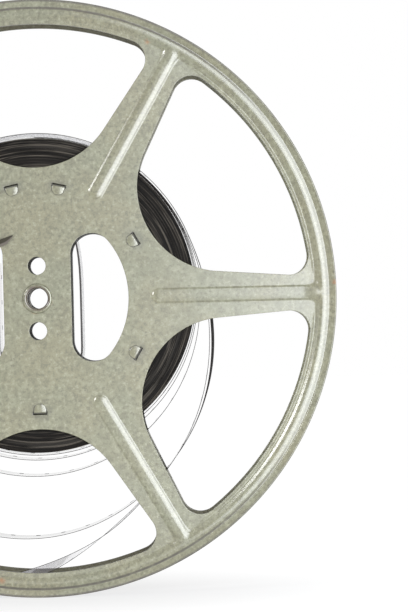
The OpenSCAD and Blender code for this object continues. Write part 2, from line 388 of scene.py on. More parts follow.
def far_from(points, others, distance):
    """The points that keep a distance from all others."""
    tree = plan_tree(others)
    return np.array([p for p in points if tree.find((p[0], p[1], 0))[2] > distance]).reshape(-1, 2)


def relief_points():
    """Points close enough together to carry the ribs and the rim, row by row."""
    radii = np.concatenate([np.arange(82.0, 85.0, 0.17), np.arange(85.1, 86.0, 0.2),
                            np.arange(86.1, 87.8, 0.13), [88.0, 88.3, 88.6]])
    rings = np.concatenate([polar(r, full_turn(RIM_STEPS)) for r in radii])
    across = np.array([0, 0.3, 0.55, 0.8, 1.05, 1.3, 1.5, 1.65, 1.8, 1.93, 2.06, 2.2, 2.35, 2.5, 2.7, 3.0])
    across = np.concatenate([-across[:0:-1], across])
    rows = np.array([(u, v) for u in np.arange(RIB_START_R, 80, 1.0) for v in across])
    tips = [polar(d, np.linspace(97.5, 262.5, 12)) + [RIB_START_R, 0] for d in across[across > 0.3]]
    joins = np.array([(u, v) for u in np.arange(79.4, 83.4, 0.3) for v in np.arange(-5.4, 5.5, 0.3)])
    ribs = np.concatenate([rows, *tips, joins])
    ribs = np.concatenate([turned(ribs, k * 360 / SPOKES) for k in range(SPOKES)])
    grid = np.array([(GRID_STEP * i + GRID_STEP / 2 * (j % 2), GRID_ROW * j)
                     for j in range(-44, 45) for i in range(-39, 40)])
    return rings, ribs, grid[np.hypot(grid[:, 0], grid[:, 1]) < 82]


def flange_plan():
    """Triangles of the sheet, and each point's place, depth below the edge's round, and edge direction."""
    holes = hole_outlines()
    rim = polar(FLANGE_R, -full_turn(RIM_STEPS))
    points, edges, drop, lean, facing = [], [], [], [], []
    for outline in holes + [rim]:
        round_r, turns = (RIM_ROUND, 5) if outline is rim else (CUT_ROUND, 3)
        for a in np.linspace(0, math.pi / 2, turns):
            moved, right = inset(outline, round_r * (1 - math.cos(a)))
            first, count = len(points), len(moved)
            points += moved.tolist()
            edges += [(first + k, first + (k + 1) % count) for k in range(count)]
            drop += [round_r * (1 - math.sin(a))] * count
            lean += [math.cos(a)] * count
            facing += (-right).tolist()
    for group, gap in zip(relief_points(), POINT_GAPS):
        for outline in holes:
            group = group[~inside(group, outline)]
        kept = far_from(group, points, gap)
        points += kept.tolist()
        drop += [0.0] * len(kept)
        lean += [0.0] * len(kept)
        facing += [[0.0, 0.0]] * len(kept)
    made = geometry.delaunay_2d_cdt([Vector(p) for p in points], edges, [], 0, 1e-6)
    source = [s[0] for s in made[3]]
    triangles = np.array([[source[i] for i in f] for f in made[2]])
    p = np.array(points)
    centre = p[triangles].mean(1)
    keep = np.hypot(centre[:, 0], centre[:, 1]) < FLANGE_R
    for outline in holes:
        keep &= ~inside(centre, outline)
    return p, triangles[keep], np.array(drop), np.array(lean), np.array(facing), holes


def boundary_edges(triangles):
    """Edges with a triangle on one side only."""
    directed = {}
    for a, b, c in triangles.tolist():
        for e in ((a, b), (b, c), (c, a)):
            directed[e] = True
    return [e for e in directed if (e[1], e[0]) not in directed]


def flange_mesh(side):
    """Points, faces and normals of a flange: side -1 for the front, 1 for the rear."""
    p, triangles, drop, lean, facing = PLAN[:5]
    x, z = p[:, 0], p[:, 1]
    h = relief(x, z)
    hx, hz = relief_slope(x, z)
    count = len(p)
    out = np.stack([x, -(OUTER_FACE + h - drop), z], -1)
    inner = np.stack([x, -(INNER_FACE + h + drop), z], -1)
    up = np.stack([-hx, -np.ones(count), -hz], -1)
    up /= np.linalg.norm(up, axis=1)[:, None]
    flat = np.stack([facing[:, 0], np.zeros(count), facing[:, 1]], -1)
    rise = np.sqrt(1 - lean ** 2)[:, None]
    normals = np.concatenate([up * rise + flat * lean[:, None], flat * lean[:, None] - up * rise])
    faces = [[a, b, c] for a, b, c in triangles.tolist()]
    faces += [[c + count, b + count, a + count] for a, b, c in triangles.tolist()]
    faces += [[a, a + count, b + count, b] for a, b in boundary_edges(triangles)]
    verts = np.concatenate([out, inner])
    if side > 0:
        verts[:, 1] *= -1
        normals[:, 1] *= -1
        faces = [f[::-1] for f in faces]
    return verts, faces, normals


def closeness(outlines, reach):
    """How close each point of the plan is to the nearest outline, from 0 to 1."""
    tree = plan_tree(np.concatenate(outlines))
    d = np.array([tree.find((q[0], q[1], 0))[2] for q in PLAN[0]])
    return np.exp(-d / reach)


# Material helpers

class Shader:
    """A short way to build one material's nodes."""

    def __init__(self, name):
        self.material = bpy.data.materials.new(name)
        self.material.use_nodes = True
        self.tree = self.material.node_tree
        self.bsdf = self.tree.nodes["Principled BSDF"]

    def put(self, socket, value):
        """Link a socket to another, or set its value."""
        if isinstance(value, bpy.types.NodeSocket):
            self.tree.links.new(value, socket)
        else:
            socket.default_value = value

    def node(self, kind, out=0, props=None, **inputs):
        """A new node's output; inputs go by name, or by number as i0, i1 and so on."""
        made = self.tree.nodes.new(kind)
        for key, value in (props or {}).items():
            setattr(made, key, value)
        for key, value in inputs.items():
            name = key.replace("_", " ") if not key[1:].isdigit() else int(key[1:])
            self.put(made.inputs[name], value)
        return made.outputs[out]

    def math(self, operation, a, b=0.0, clamp=False):
        return self.node("ShaderNodeMath", 0, {"operation": operation, "use_clamp": clamp}, i0=a, i1=b)

    def noise(self, vector, scale, detail=2.0, rough=0.5):
        return self.node("ShaderNodeTexNoise", 0, None, Vector=vector, Scale=scale, Detail=detail,
                         Roughness=rough)

    def span(self, value, a, b, c=0.0, d=1.0):
        """A smooth way from c to d as the value goes from a to b."""
        return self.node("ShaderNodeMapRange", 0, {"interpolation_type": "SMOOTHSTEP"},
                         i0=value, i1=a, i2=b, i3=c, i4=d)

    def mix(self, share, a, b):
        made = self.tree.nodes.new("ShaderNodeMix")
        made.data_type = "RGBA"
        colours = [s for s in made.inputs if s.type == "RGBA"]
        self.put(made.inputs[0], share)
        self.put(colours[0], a)
        self.put(colours[1], b)
        return [s for s in made.outputs if s.type == "RGBA"][0]

    def bump(self, height, strength, distance, normal=None):
        made = self.tree.nodes.new("ShaderNodeBump")
        self.put(made.inputs["Height"], height)
        made.inputs["Strength"].default_value = strength
        made.inputs["Distance"].default_value = distance
        if normal is not None:
            self.put(made.inputs["Normal"], normal)
        return made.outputs[0]

    def place(self):
        """Place in the part's frame, in metres."""
        return self.node("ShaderNodeTexCoord", 3)

    def parts(self, vector):
        """A vector's x, y and z."""
        return self.node("ShaderNodeSeparateXYZ", 0, None, Vector=vector).node.outputs

    def stretched(self, a, a_scale, b, b_scale):
        """A place made of two values, each at its own scale."""
        return self.node("ShaderNodeCombineXYZ", 0, None, X=self.math("MULTIPLY", a, a_scale),
                         Y=self.math("MULTIPLY", b, b_scale))

    def axis_distance(self, vector):
        """Distance from the spindle axis."""
        x, _, z = self.parts(vector)
        return self.math("SQRT", self.math("ADD", self.math("MULTIPLY", x, x), self.math("MULTIPLY", z, z)))

    def spot(self, vector, centre, radius):
        """1 at a point, falling to 0 at a radius, both in metres."""
        d = self.node("ShaderNodeVectorMath", 1, {"operation": "DISTANCE"}, i0=vector, i1=centre)
        return self.span(d, radius, 0.0)

    def value(self, name):
        """A number from the mesh's points."""
        return self.node("ShaderNodeAttribute", 2, {"attribute_name": name})

    def surface(self, **inputs):
        """The material, with the shader's inputs set."""
        for key, value in inputs.items():
            self.put(self.bsdf.inputs[key.replace("_", " ")], value)
        return self.material


def direct_rays(tree):
    """1 for rays that show a surface itself: from the camera, in a reflection or through clear film."""
    rays = tree.nodes.new("ShaderNodeLightPath")
    seen = rays.outputs["Is Camera Ray"]
    for kind in ("Is Glossy Ray", "Is Transmission Ray"):
        most = tree.nodes.new("ShaderNodeMath")
        most.operation = "MAXIMUM"
        tree.links.new(seen, most.inputs[0])
        tree.links.new(rays.outputs[kind], most.inputs[1])
        seen = most.outputs[0]
    return seen


# Materials: places and distances in metres

SAGE_WARM = linear(142, 138, 105)
SAGE_COOL = linear(138, 139, 110)
SAGE_DARK = linear(111, 108, 80)
SAGE_LIGHT = linear(173, 172, 144)
# Colours for painted shade, the first also standing for some grime
GRIME_AND_SHADE = linear(66, 59, 45)
SHADE = linear(34, 31, 24)
RUST = linear(168, 106, 50)
BARE_STEEL = linear(92, 82, 68)
BROWN_STEEL = linear(92, 68, 48)
DARK_STEEL = linear(46, 34, 25)
# Place and reach of each rust spot
RUST_SPOTS = (((0.0345, -0.0098, 0.0757), 0.0014), ((-0.0126, -0.0103, -0.0836), 0.0017),
              ((0.0884, -0.0104, 0.0028), 0.0012), ((-0.0600, -0.0100, 0.0580), 0.0020),
              ((0.0200, 0.0103, -0.0842), 0.0026), ((-0.0838, 0.0103, 0.0120), 0.0018))


def paint_colour(s, where):
    """Sage paint with broad warm and cool patches and a fine mottle."""
    broad = s.noise(where, 55.0, 3.0)
    colour = s.mix(s.span(broad, 0.35, 0.65), SAGE_WARM, SAGE_COOL)
    cloud = s.noise(where, 330.0, 3.0, 0.6)
    colour = s.mix(s.span(cloud, 0.30, 0.55, 0.45, 0.0), colour, SAGE_DARK)
    colour = s.mix(s.span(cloud, 0.50, 0.75, 0.0, 0.45), colour, SAGE_LIGHT)
    mottle = s.noise(where, 1000.0, 3.0, 0.65)
    colour = s.mix(s.span(mottle, 0.30, 0.52, 1.0, 0.0), colour, SAGE_DARK)
    colour = s.mix(s.span(mottle, 0.52, 0.75, 0.0, 1.0), colour, SAGE_LIGHT)
    return colour, mottle


def paint_material():
    """Glossy sage enamel with chipped edges and rust spots, and painted shade: with some grime in the rim's
    groove and on its outer edge, and in the tab gaps and on the inside.
    """
    s = Shader("sage_paint")
    where = s.place()
    colour, mottle = paint_colour(s, where)
    radius = s.axis_distance(where)
    fleck = s.noise(where, 300.0, 4.0, 0.65)
    edge = s.math("MULTIPLY", s.value("edge"), s.span(radius, 0.0870, 0.0885))
    chip = s.math("MULTIPLY", s.span(edge, 0.35, 0.95), s.span(fleck, 0.60, 0.68), True)
    colour = s.mix(s.math("MULTIPLY", chip, 0.7), colour, BARE_STEEL)
    # Painted shade with some grime: the rim's groove and its outer edge darken, most at the top and bottom
    # where they face up and down
    upright = s.math("POWER", s.math("DIVIDE", s.parts(where)[2], radius), 2.0)
    valley = s.math("MULTIPLY", s.span(radius, 0.0859, 0.0863), s.span(radius, 0.0870, 0.0866))
    dark_band = s.span(radius, 0.0881, 0.0886)
    soil_and_shade = s.math("MULTIPLY", s.math("MAXIMUM", valley, dark_band), s.span(upright, 0.1, 0.9, 0.2, 0.95))
    colour = s.mix(s.math("MULTIPLY", soil_and_shade, s.span(fleck, 0.3, 0.6, 0.7, 1.0)), colour, GRIME_AND_SHADE)
    # Painted shade in the gaps: round the tab slots, on the tabs' bends and edges and along the drum's edges
    colour = s.mix(s.math("MULTIPLY", s.value("painted_shade"), 0.85), colour, SHADE)
    # Painted shade on the sheets' inner faces: darker towards the top and bottom of the rim, and darkest
    # round the hub inside the drum
    inner = s.value("inner")
    colour = s.mix(s.math("MULTIPLY", inner, s.span(upright, 0.1, 0.8, 0.0, 0.6)), colour, GRIME_AND_SHADE)
    colour = s.mix(s.math("MULTIPLY", inner, s.span(radius, 0.041, 0.036, 0.0, 0.9)), colour, SHADE)
    rust = s.math("MULTIPLY", s.span(radius, 0.0050, 0.0042), s.span(fleck, 0.50, 0.66, 0.0, 0.5))
    for centre, reach in RUST_SPOTS:
        mark = s.math("MULTIPLY", s.spot(where, centre, reach), s.span(fleck, 0.40, 0.60))
        rust = s.math("MAXIMUM", rust, mark)
    colour = s.mix(s.math("MULTIPLY", rust, 0.8), colour, RUST)
    peel = s.noise(where, 620.0, 2.0, 0.4)
    wave = s.noise(where, 42.0, 2.0)
    normal = s.bump(wave, 0.3, 0.0006)
    normal = s.bump(peel, 0.22, 0.00006, normal)
    rough = s.math("ADD", s.span(mottle, 0.3, 0.7, 0.36, 0.46), s.math("MULTIPLY", rust, 0.35))
    return s.surface(Base_Color=colour, Roughness=rough, Normal=normal, Coat_Weight=1.0, Coat_Roughness=0.2,
                     Coat_IOR=1.9)


def eyelet_material():
    """Enamel that is worn through to brown steel round the bore."""
    s = Shader("eyelet_steel")
    where = s.place()
    colour = paint_colour(s, where)[0]
    radius = s.axis_distance(where)
    fleck = s.noise(where, 420.0, 4.0, 0.65)
    dark_band = s.math("ADD", s.span(radius, 0.0041, 0.0036), s.span(fleck, 0.45, 0.7, -0.3, 0.35), True)
    colour = s.mix(dark_band, colour, s.mix(fleck, BROWN_STEEL, DARK_STEEL))
    normal = s.bump(fleck, 0.3, 0.0002)
    rough = s.span(dark_band, 0.0, 1.0, 0.2, 0.5)
    return s.surface(Base_Color=colour, Roughness=rough, Normal=normal, Metallic=0.15, Coat_Weight=0.8,
                     Coat_Roughness=0.12, Coat_IOR=1.9)


def pack_material():
    """Edges of many turns of film: fine rings that vary slowly round the pack."""
    s = Shader("film_winding_edges")
    where = s.place()
    radius = s.axis_distance(where)
    x, _, z = s.parts(where)
    angle = s.math("ARCTAN2", z, x)
    fine = s.noise(s.stretched(radius, 1900.0, angle, 1.7), 1.0, 3.0, 0.6)
    middle = s.noise(s.stretched(radius, 1000.0, angle, 1.0), 1.0, 2.0)
    broad = s.noise(s.stretched(radius, 700.0, angle, 0.8), 1.0, 2.0)
    colour = s.mix(s.span(broad, 0.3, 0.7), linear(13, 10, 8), linear(30, 26, 22))
    colour = s.mix(s.span(fine, 0.34, 0.47, 0.9, 0.0), colour, linear(6, 5, 4))
    colour = s.mix(s.span(fine, 0.50, 0.63, 0.0, 1.0), colour, linear(98, 92, 84))
    colour = s.mix(s.span(middle, 0.34, 0.47, 0.85, 0.0), colour, linear(5, 4, 4))
    colour = s.mix(s.span(middle, 0.54, 0.68, 0.0, 0.45), colour, linear(78, 74, 69))
    normal = s.bump(fine, 0.5, 0.0003)
    rough = s.span(fine, 0.3, 0.7, 0.40, 0.55)
    return s.surface(Base_Color=colour, Roughness=rough, Normal=normal, Specular_IOR_Level=0.12)


def strip_material(name, dark, light, rough_low, rough_high, split=None, **extra):
    """Film face with fine scratches: frames along the strip, or dark up to a split across it, then light."""
    s = Shader(name)
    along, across, _ = s.parts(s.node("ShaderNodeUVMap", 0, {"uv_map": "strip"}))
    scratch = s.noise(s.stretched(along, 0.25, across, 90.0), 1.0, 3.0)
    if split is None:
        cell = s.math("FRACT", along)
        gap = s.math("MAXIMUM", s.span(cell, 0.035, 0.0), s.span(cell, 0.965, 1.0))
        picture = s.math("MULTIPLY", s.span(across, 0.16, 0.18), s.span(across, 0.84, 0.82))
        picture = s.math("MULTIPLY", picture, s.math("SUBTRACT", 1.0, gap))
        shade = s.node("ShaderNodeTexWhiteNoise", 0, {"noise_dimensions": "1D"},
                       W=s.math("FLOOR", s.math("MULTIPLY", along, 0.125)))
        tone = s.math("MULTIPLY", picture, s.span(shade, 0.0, 1.0, 0.25, 0.7))
        tone = s.math("ADD", tone, s.span(scratch, 0.55, 0.8, 0.0, 0.3), True)
    else:
        tone = s.span(across, split - 0.03, split + 0.03)
        tone = s.math("ADD", tone, s.span(scratch, 0.5, 0.8, 0.0, 0.2), True)
    colour = s.mix(tone, dark, light)
    normal = s.bump(scratch, 0.1, 0.00001)
    rough = s.span(scratch, 0.3, 0.7, rough_low, rough_high)
    return s.surface(Base_Color=colour, Roughness=rough, Normal=normal, **extra)


def table_material():
    """A pale table that reads as white to the camera, keeps a faint real shadow under the reel, and glows
    dimmer under it as a painted shadow.
    """
    s = Shader("table_white")
    where = s.place()
    grain = s.noise(where, 30.0, 2.0)
    s.surface(Base_Color=s.mix(grain, linear(226, 226, 228), linear(230, 230, 232)), Roughness=0.55,
              Emission_Color=(1, 1, 1, 1), Emission_Strength=TABLE_BOUNCE)
    shaded = s.tree.nodes.new("ShaderNodeBsdfDiffuse")
    s.put(shaded.inputs["Color"], s.mix(grain, linear(136, 136, 138), linear(140, 140, 142)))
    glow = s.tree.nodes.new("ShaderNodeEmission")
    away = s.node("ShaderNodeVectorMath", 1, {"operation": "DISTANCE"}, i0=where, i1=(0, 0, TABLE_Z))
    # Painted shadow: the glow is dimmer near the reel and rises to white further out
    s.put(glow.inputs["Strength"], s.span(away, 0.0, PAINTED_SHADOW_REACH, PAINTED_SHADOW_GLOW, 1.0))
    both = s.tree.nodes.new("ShaderNodeAddShader")
    s.tree.links.new(shaded.outputs[0], both.inputs[0])
    s.tree.links.new(glow.outputs[0], both.inputs[1])
    mixed = s.tree.nodes.new("ShaderNodeMixShader")
    s.put(mixed.inputs[0], direct_rays(s.tree))
    s.tree.links.new(s.bsdf.outputs[0], mixed.inputs[1])
    s.tree.links.new(both.outputs[0], mixed.inputs[2])
    s.tree.links.new(mixed.outputs[0], s.tree.nodes["Material Output"].inputs["Surface"])
    return s.material


# Flanges

PAINT = paint_material()
PLAN = flange_plan()
HOLES = PLAN[5]
TAB_SLOTS = HOLES[SPOKES + 2:SPOKES + 2 + len(TAB_ANGLES)]
EDGE = closeness(HOLES + [polar(FLANGE_R, full_turn(RIM_STEPS))], EDGE_REACH)
# Painted shade round the tab slots, fading away from their edges
SLOT_SHADE = closeness(TAB_SLOTS, SLOT_SHADE_REACH)
for name, side in (("front", -1), ("rear", 1)):
    verts, faces, normals = flange_mesh(side)
    piece = mesh_piece(name + "_flange_sheet", verts, faces, [PAINT], "reel", name + "_flange",
                       normals=normals)
    point_values(piece, "edge", np.concatenate([EDGE, EDGE]))
    point_values(piece, "painted_shade", np.concatenate([SLOT_SHADE, SLOT_SHADE]))
    point_values(piece, "inner", np.concatenate([np.zeros_like(EDGE), np.ones_like(EDGE)]))


# Drum with its folded tabs

def rounded_box(half_w, half_t, round_r, steps=3):
    """Section of a flat bar with rounded edges, as points across and through it."""
    round_r = min(round_r, half_w, half_t)
    points = []
    for sx, sy, start in ((1, 1, 0), (-1, 1, 90), (-1, -1, 180), (1, -1, 270)):
        for k in range(steps + 1):
            a = math.radians(start + 90 * k / steps)
            points.append((sx * (half_w - round_r) + round_r * math.cos(a),
                           sy * (half_t - round_r) + round_r * math.sin(a)))
    return points


def tab_mesh(degrees, side):
    """One folded tab: up out of the drum's wall, round a bend and inwards over the flange."""
    mid = DRUM_R - TAB_SKIM - TAB_T / 2
    bend_r, lie = TAB_T / 2 + TAB_BEND, OUTER_FACE + TAB_T / 2 + TAB_LIFT
    tip, half = DRUM_R - TAB_L, TAB_W / 2
    path = [(mid, INNER_FACE - TAB_ROOT, 0.0), (mid, INNER_FACE, 0.0), (mid, lie - bend_r, 0.0)]
    path += [(mid - bend_r * (1 - math.cos(a)), lie - bend_r * (1 - math.sin(a)), math.degrees(a))
             for a in np.radians(np.linspace(15, 90, 6))]
    start = mid - bend_r
    path += [(start + (tip - start) * (1 - (1 - u) ** 2), lie - TAB_DIP * u, 90.0)
             for u in np.linspace(0.12, 1, 10)]
    verts, painted_shade = [], []
    for rho, y, turn in path:
        short = max(0.0, tip + half - rho)
        w = max(0.25, math.sqrt(max(0.0, half ** 2 - short ** 2)))
        t = TAB_T / 2 * (1.0 if short < half * 0.92 else 0.6)
        a = math.radians(turn)
        for across, through in rounded_box(w, t, TAB_ROUND):
            dome = TAB_DOME * (1 - (across / half) ** 2) * math.sin(a)
            verts.append((rho + through * math.cos(a), side * (y + through * math.sin(a) + dome), across))
            # Painted shade on the bend and the rounded edges, where the tab dips into its slot and stands off
            # the sheet
            in_shade = turn < 75 or abs(across) > w - TAB_SHADE_W or w < TAB_TIP_HALF
            painted_shade.append(1.0 if in_shade else 0.0)
    verts = np.array(verts)
    flat = turned(verts[:, [0, 2]], degrees)
    return np.stack([flat[:, 0], verts[:, 1], flat[:, 1]], -1), len(path), painted_shade


def drum_mesh():
    """The rolled strip, open at the film's slot, with its tabs on both sides."""
    slot = math.degrees(math.asin(DRUM_SLOT_W / 2 / DRUM_R))
    angles = np.linspace(90 + slot, 450 - slot, 181)
    section = rounded_box(INNER_FACE - 0.02, DRUM_T / 2, 0.15)
    verts, faces, painted_shade = [], [], []
    for a in np.radians(angles):
        for across, through in section:
            r = DRUM_R - DRUM_T / 2 + through
            verts.append((r * math.cos(a), across, r * math.sin(a)))
            # Painted shade along the drum's edges, against the flanges
            painted_shade.append(1.0 if abs(across) > INNER_FACE - 0.3 else 0.0)
    faces += outward(verts, tube_faces(len(angles), len(section)))
    for side in (-1, 1):
        for degrees in TAB_ANGLES:
            points, rings, edge_shade = tab_mesh(degrees, side)
            made = outward(points, tube_faces(rings, len(points) // rings))
            faces += [[i + len(verts) for i in f] for f in made]
            verts += points.tolist()
            painted_shade += edge_shade
    return verts, faces, painted_shade


verts, faces, painted_shade = drum_mesh()
piece = mesh_piece("drum_strip", verts, faces, [PAINT], "reel", "core_drum", sharp=50)
point_values(piece, "painted_shade", painted_shade)


# Eyelets

def lathe(profile, count):
    """A closed profile of radius and height turned about the spindle axis."""
    verts = [(r * math.cos(a), y, r * math.sin(a))
             for a in np.radians(full_turn(count)) for r, y in profile]
    return verts, outward(verts, tube_faces(count, len(profile), closed_path=True))


def eyelet_profile():
    """Barrel through the sheet, rolled over into a raised ring outside and clinched inside."""
    ring_r, half = (BORE_R + EYELET_R) / 2, (EYELET_R - BORE_R) / 2
    top = [(ring_r + half * math.cos(a), OUTER_FACE + EYELET_H * math.sin(a) ** 0.85)
           for a in np.radians(np.linspace(0, 180, 15))]
    foot = [(BORE_R, INNER_FACE - 0.3), (BORE_R + 0.12, INNER_FACE - 0.43),
            (BORE_R + 0.5, INNER_FACE - CLINCH_H), (CLINCH_R - 0.2, INNER_FACE - 0.4),
            (CLINCH_R, INNER_FACE - 0.2), (CLINCH_R, INNER_FACE - 0.02),
            (BARREL_HOLE_R - 0.05, INNER_FACE), (BARREL_HOLE_R - 0.05, OUTER_FACE)]
    return foot + top


STEEL = eyelet_material()
for name, side in (("front", -1), ("rear", 1)):
    verts, faces = lathe([(r, side * y) for r, y in eyelet_profile()], 64)
    mesh_piece(name + "_eyelet_ring", verts, faces, [STEEL], "reel", name + "_eyelet",
               sharp=60)


# Film: the tight winding

def winding_mesh():
    """Stepped sides, a turn or a few at a time, on a pack that sits slightly above the spindle axis."""
    draw = np.random.default_rng(SEED)
    cuts = np.sort(np.concatenate([[0, 1], draw.uniform(0.01, 0.99, PACK_LAYERS - 1)]))
    shift = np.clip(draw.normal(0, LAYER_SHIFT, PACK_LAYERS), -LAYER_SHIFT_MOST, LAYER_SHIFT_MOST)
    wobble = draw.uniform(0, 2 * math.pi, (PACK_LAYERS, 2))
    verts = []
    for a in np.radians(full_turn(PACK_STEPS)):
        ring = []
        for k in range(PACK_LAYERS):
            lean = shift[k] + 0.08 * math.sin(a + wobble[k, 0]) + 0.04 * math.sin(2 * a + wobble[k, 1])
            for q in (cuts[k] + 1e-4, cuts[k + 1] - 1e-4):
                r = PACK_BORE_R + (PACK_R - PACK_BORE_R) * q
                ring.append((r * math.cos(a), lean, r * math.sin(a) + PACK_RISE * q))
        front = [(x, y - FILM_W / 2, z) for x, y, z in ring]
        back = [(x, y + FILM_W / 2, z) for x, y, z in ring]
        verts += front + back[::-1]
    return verts, outward(verts, tube_faces(PACK_STEPS, 4 * PACK_LAYERS, closed_path=True))


verts, faces = winding_mesh()
mesh_piece("film_winding", verts, faces, [pack_material()], "film", "film_pack", sharp=40)


# Film: strips with perforations

def strip_mesh(path, twist, cup, end, top_slot, under_slot, edge_slot):
    """A perforated strip along path(t), for t from 0 to end, twisted by twist(t) and cupped.

    top_slot, under_slot and edge_slot give a face's material slot from its t and its row across the strip.
    """
    t = np.linspace(0.0, end, 6000)
    line = path(t)
    length = np.concatenate([[0], np.cumsum(np.linalg.norm(np.diff(line, axis=0), axis=1))])
    stops, hole = [0.0], []
    while stops[-1] < length[-1] - PERF_PITCH:
        base = stops[-1]
        stops += [base + (PERF_PITCH - PERF_L) * k / 4 for k in range(1, 5)] + [base + PERF_PITCH]
        hole += [False] * 4 + [True]
    stops.append(length[-1])
    hole.append(False)
    at = np.interp(stops, length, t)
    p, e = path(at), 1e-4
    along = path(at + e) - path(at - e)
    along /= np.linalg.norm(along, axis=1)[:, None]
    normal = np.stack([-along[:, 1], along[:, 0]], -1)
    half = FILM_W / 2
    rows = np.array([-half, -5.4, -2.7, 0, 2.7, half - PERF_EDGE - PERF_W, half - PERF_EDGE, half])
    hole_row = len(rows) - 3
    lean = np.radians(twist(at))
    verts, uv = [], []
    for h in (FILM_T / 2, -FILM_T / 2):
        for i in range(len(at)):
            for s in rows:
                lift = h + cup * (1 - (s / half) ** 2)
                out = s * math.sin(lean[i]) + lift * math.cos(lean[i])
                verts.append((p[i, 0] + out * normal[i, 0], s * math.cos(lean[i]) - lift * math.sin(lean[i]),
                              p[i, 1] + out * normal[i, 1]))
                uv.append((stops[i] / PERF_PITCH, s / FILM_W + 0.5))
    m, n = len(rows), len(at)
    under = n * m
    faces, slots = [], []

    def kept(i, j):
        return 0 <= i < n - 1 and 0 <= j < m - 1 and not (hole[i] and j == hole_row)

    for i in range(n - 1):
        for j in range(m - 1):
            if not kept(i, j):
                continue
            corners = [i * m + j, (i + 1) * m + j, (i + 1) * m + j + 1, i * m + j + 1]
            faces += [corners, [c + under for c in corners[::-1]]]
            slots += [top_slot(at[i], j), under_slot(at[i], j)]
            for k, (di, dj) in enumerate(((0, -1), (1, 0), (0, 1), (-1, 0))):
                if not kept(i + di, j + dj):
                    a, b = corners[k], corners[(k + 1) % 4]
                    faces.append([a, a + under, b + under, b])
                    slots.append(edge_slot(at[i], j))
    return verts, faces, slots, uv


def strip_piece(name, node, made):
    """A piece of film from its points, faces, material slots and place along and across the strip."""
    verts, faces, slots, uv = made
    piece = mesh_piece(name, verts, faces, FILM_FACES, "film", node, slots, sharp=40)
    layer = piece.data.uv_layers.new(name="strip")
    corner = np.zeros(len(piece.data.loops), np.int32)
    piece.data.loops.foreach_get("vertex_index", corner)
    layer.data.foreach_set("uv", np.asarray(uv, np.float32)[corner].ravel())


FILM_BASE = strip_material("film_base", linear(40, 34, 32), linear(84, 76, 74), 0.09, 0.14,
                           Coat_Weight=0.8, Coat_Roughness=0.1)
FILM_EMULSION = strip_material("film_emulsion", linear(20, 18, 18), linear(44, 40, 38), 0.6, 0.75,
                               Specular_IOR_Level=0.02)
FILM_EDGE = strip_material("film_edge", linear(26, 21, 19), linear(56, 48, 44), 0.4, 0.55,
                           Specular_IOR_Level=0.1)
FILM_CLEAR = strip_material("film_clear", linear(216, 213, 236), linear(226, 224, 244), 0.06, 0.1,
                            Alpha=0.15)
FILM_INNER = strip_material("film_inner", linear(214, 212, 216), linear(230, 229, 233), 0.4, 0.5, Alpha=0.22,
                            Specular_IOR_Level=0.2)
FILM_TIP = strip_material("film_tip", linear(66, 62, 50), linear(124, 117, 108), 0.4, 0.5, split=0.18,
                          Specular_IOR_Level=0.2)
FILM_TAIL = strip_material("film_tail", linear(216, 213, 236), linear(226, 224, 244), 0.1, 0.2, Alpha=0.32,
                           Coat_Weight=1.0, Coat_Roughness=0.05, Coat_IOR=1.9)
FILM_FACES = [FILM_BASE, FILM_EMULSION, FILM_EDGE, FILM_CLEAR, FILM_INNER, FILM_TIP, FILM_TAIL]
BASE, EMULSION, EDGE_FACE, CLEAR, INNER, TIP, TAIL = range(len(FILM_FACES))

# Loose turns: t counts turns from the top, clockwise and outwards
PACK_LAY = 0.2
TURN_STEP = 0.3
SLACK_TURN = 3.55
SLACK = 25.9
SLACK_SPREAD = 0.785
SLACK_FADE_IN = 4.0
SLACK_FADE_OUT = 1.34
TAIL_TURN = 4.385
LAST_TURN = 4.525
TAIL_R = 86.5
TAIL_POWER = 1.7
TAIL_TWIST = 17.0
TAIL_TWIST_TURN = 4.445
PINCH = 0.43
PINCH_TURN = 0.125
PINCH_REACH = 0.11
OUTER_LIFT = 0.4
SIDE_TWIST = 2.8
SIDE_TWIST_FROM = 4.22
SIDE_TWIST_RISE = 0.04
SIDE_TWIST_TO = 4.395
SIDE_TWIST_FALL = 0.11
TOP_TURNS = (0.8, 3.4)
TOP_REACH = (-0.14, 0.083)
EMULSION_TURN = 4.05
CLEAR_TURN = 4.42
LOOSE_CUP = 0.1


def pinch(t):
    """1 where the turns lie closest on the pack, right of the top, falling to 0 round it."""
    return np.cos(math.pi / 2 * np.clip((t - np.floor(t) - PINCH_TURN) / PINCH_REACH, -1, 1)) ** 2


def wound_r(t):
    """Radius of the loose turns, which sag most below the pack at the slack turn."""
    drop = SLACK * np.where(t < SLACK_TURN, SLACK_FADE_IN, SLACK_FADE_OUT) ** -np.abs(t - SLACK_TURN)
    bottom = SLACK_SPREAD * 360 * np.abs(t - np.floor(t) - 0.5)
    lobe = np.where(bottom < 90, np.cos(np.radians(np.minimum(bottom, 90))) ** 2, 0)
    lay = (PACK_LAY + TURN_STEP * t) * (1 - PINCH * pinch(t)) + np.where(t > 4, OUTER_LIFT, 0) * pinch(t)
    return PACK_R + PACK_RISE * np.cos(2 * math.pi * t) + lay + drop * lobe


def loose_path(t):
    """Place of the loose turns, with the tail drawn out to the rim."""
    t = np.asarray(t, float)
    pull = TAIL_R - wound_r(np.array(LAST_TURN))
    share = (np.maximum(0, t - TAIL_TURN) / (LAST_TURN - TAIL_TURN)) ** TAIL_POWER
    return polar(wound_r(t) + pull * share, 90 - 360 * t)


def loose_twist(t):
    """Lean of the strip in degrees, on the outer turn's right side and along the tail."""
    side = step((t - SIDE_TWIST_FROM) / SIDE_TWIST_RISE) * step((SIDE_TWIST_TO - t) / SIDE_TWIST_FALL)
    tail = step((t - TAIL_TWIST_TURN) / (LAST_TURN - TAIL_TWIST_TURN))
    return SIDE_TWIST * side + TAIL_TWIST * tail


